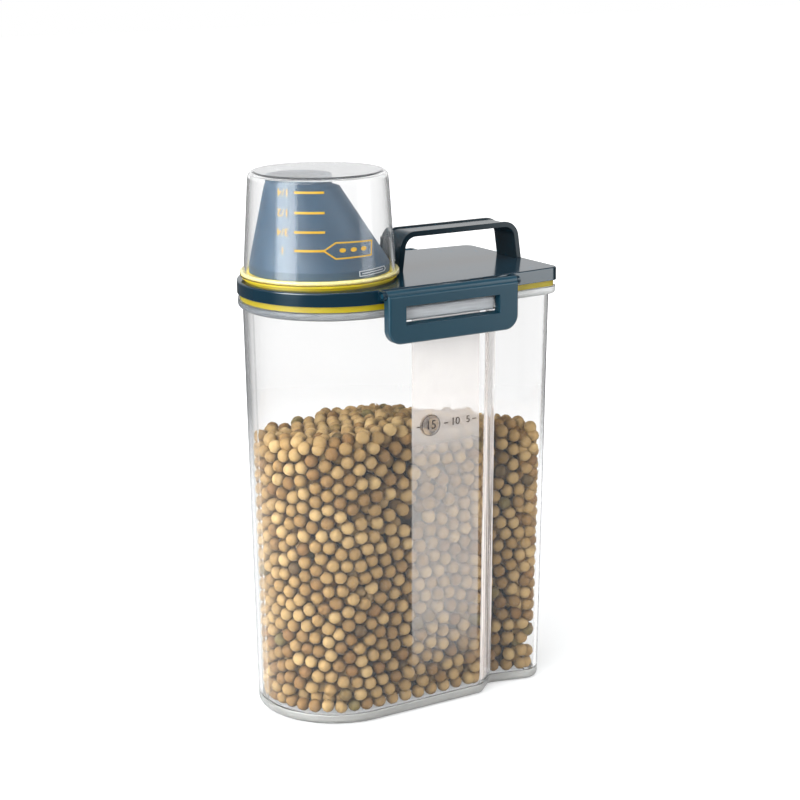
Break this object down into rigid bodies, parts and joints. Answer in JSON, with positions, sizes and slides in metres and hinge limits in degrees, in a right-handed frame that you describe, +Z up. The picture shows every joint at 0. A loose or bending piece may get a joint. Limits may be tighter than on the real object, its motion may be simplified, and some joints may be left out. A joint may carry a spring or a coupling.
{
  "type": "pet food storage container",
  "caption": "Tall clear food container with a waisted grip, a gasketed lid held by two side latches, a carrying handle and an oblique pour spout under an upturned measuring cup.",
  "frame": {"origin": "centre of the bounding box's bottom, on the surface that the foot ring stands on", "axes": "+X to the square end under the handle, -X to the rounded end under the cup, -Y to the front latch, +Z up"},
  "size_m": [0.162, 0.11, 0.285],
  "materials": {
    "clear_body": "clear polished moulding",
    "clear_cup": "clear polished moulding",
    "teal": "satin gloss moulding",
    "seal": "soft matt"
  },
  "bodies": {
    "container": {"container_body": "clear_body"},
    "lid_assembly": {"lid": "teal", "lid_gasket": "seal", "pour_spout": "teal", "cup_seal_ring": "seal", "carry_handle": "teal"},
    "cup": {"measuring_cup": "clear_cup"},
    "front_latch_body": {"front_latch": "teal"},
    "back_latch_body": {"back_latch": "teal"}
  },
  "joints": [
    {"name": "lid_lift", "type": "slide", "parent": "container", "child": "lid_assembly", "axis": [0, 0, 1], "range_m": [0, 0.02]},
    {"name": "cup_lift", "type": "slide", "parent": "lid_assembly", "child": "cup", "axis": [0, 0, 1], "range_m": [0, 0.06]},
    {"name": "front_latch_swing", "type": "hinge", "parent": "lid_assembly", "child": "front_latch_body", "pos_m": [0.0078, -0.0514, 0.2272], "axis": [-1, 0, 0], "range_deg": [0, 150]},
    {"name": "back_latch_swing", "type": "hinge", "parent": "lid_assembly", "child": "back_latch_body", "pos_m": [0.0078, 0.0514, 0.2272], "axis": [1, 0, 0], "range_deg": [0, 150]}
  ],
  "couplings": [
    {"joint": "front_latch_swing", "follows": "lid_lift", "rad_per_m": 130.8},
    {"joint": "back_latch_swing", "follows": "lid_lift", "rad_per_m": 130.8}
  ]
}
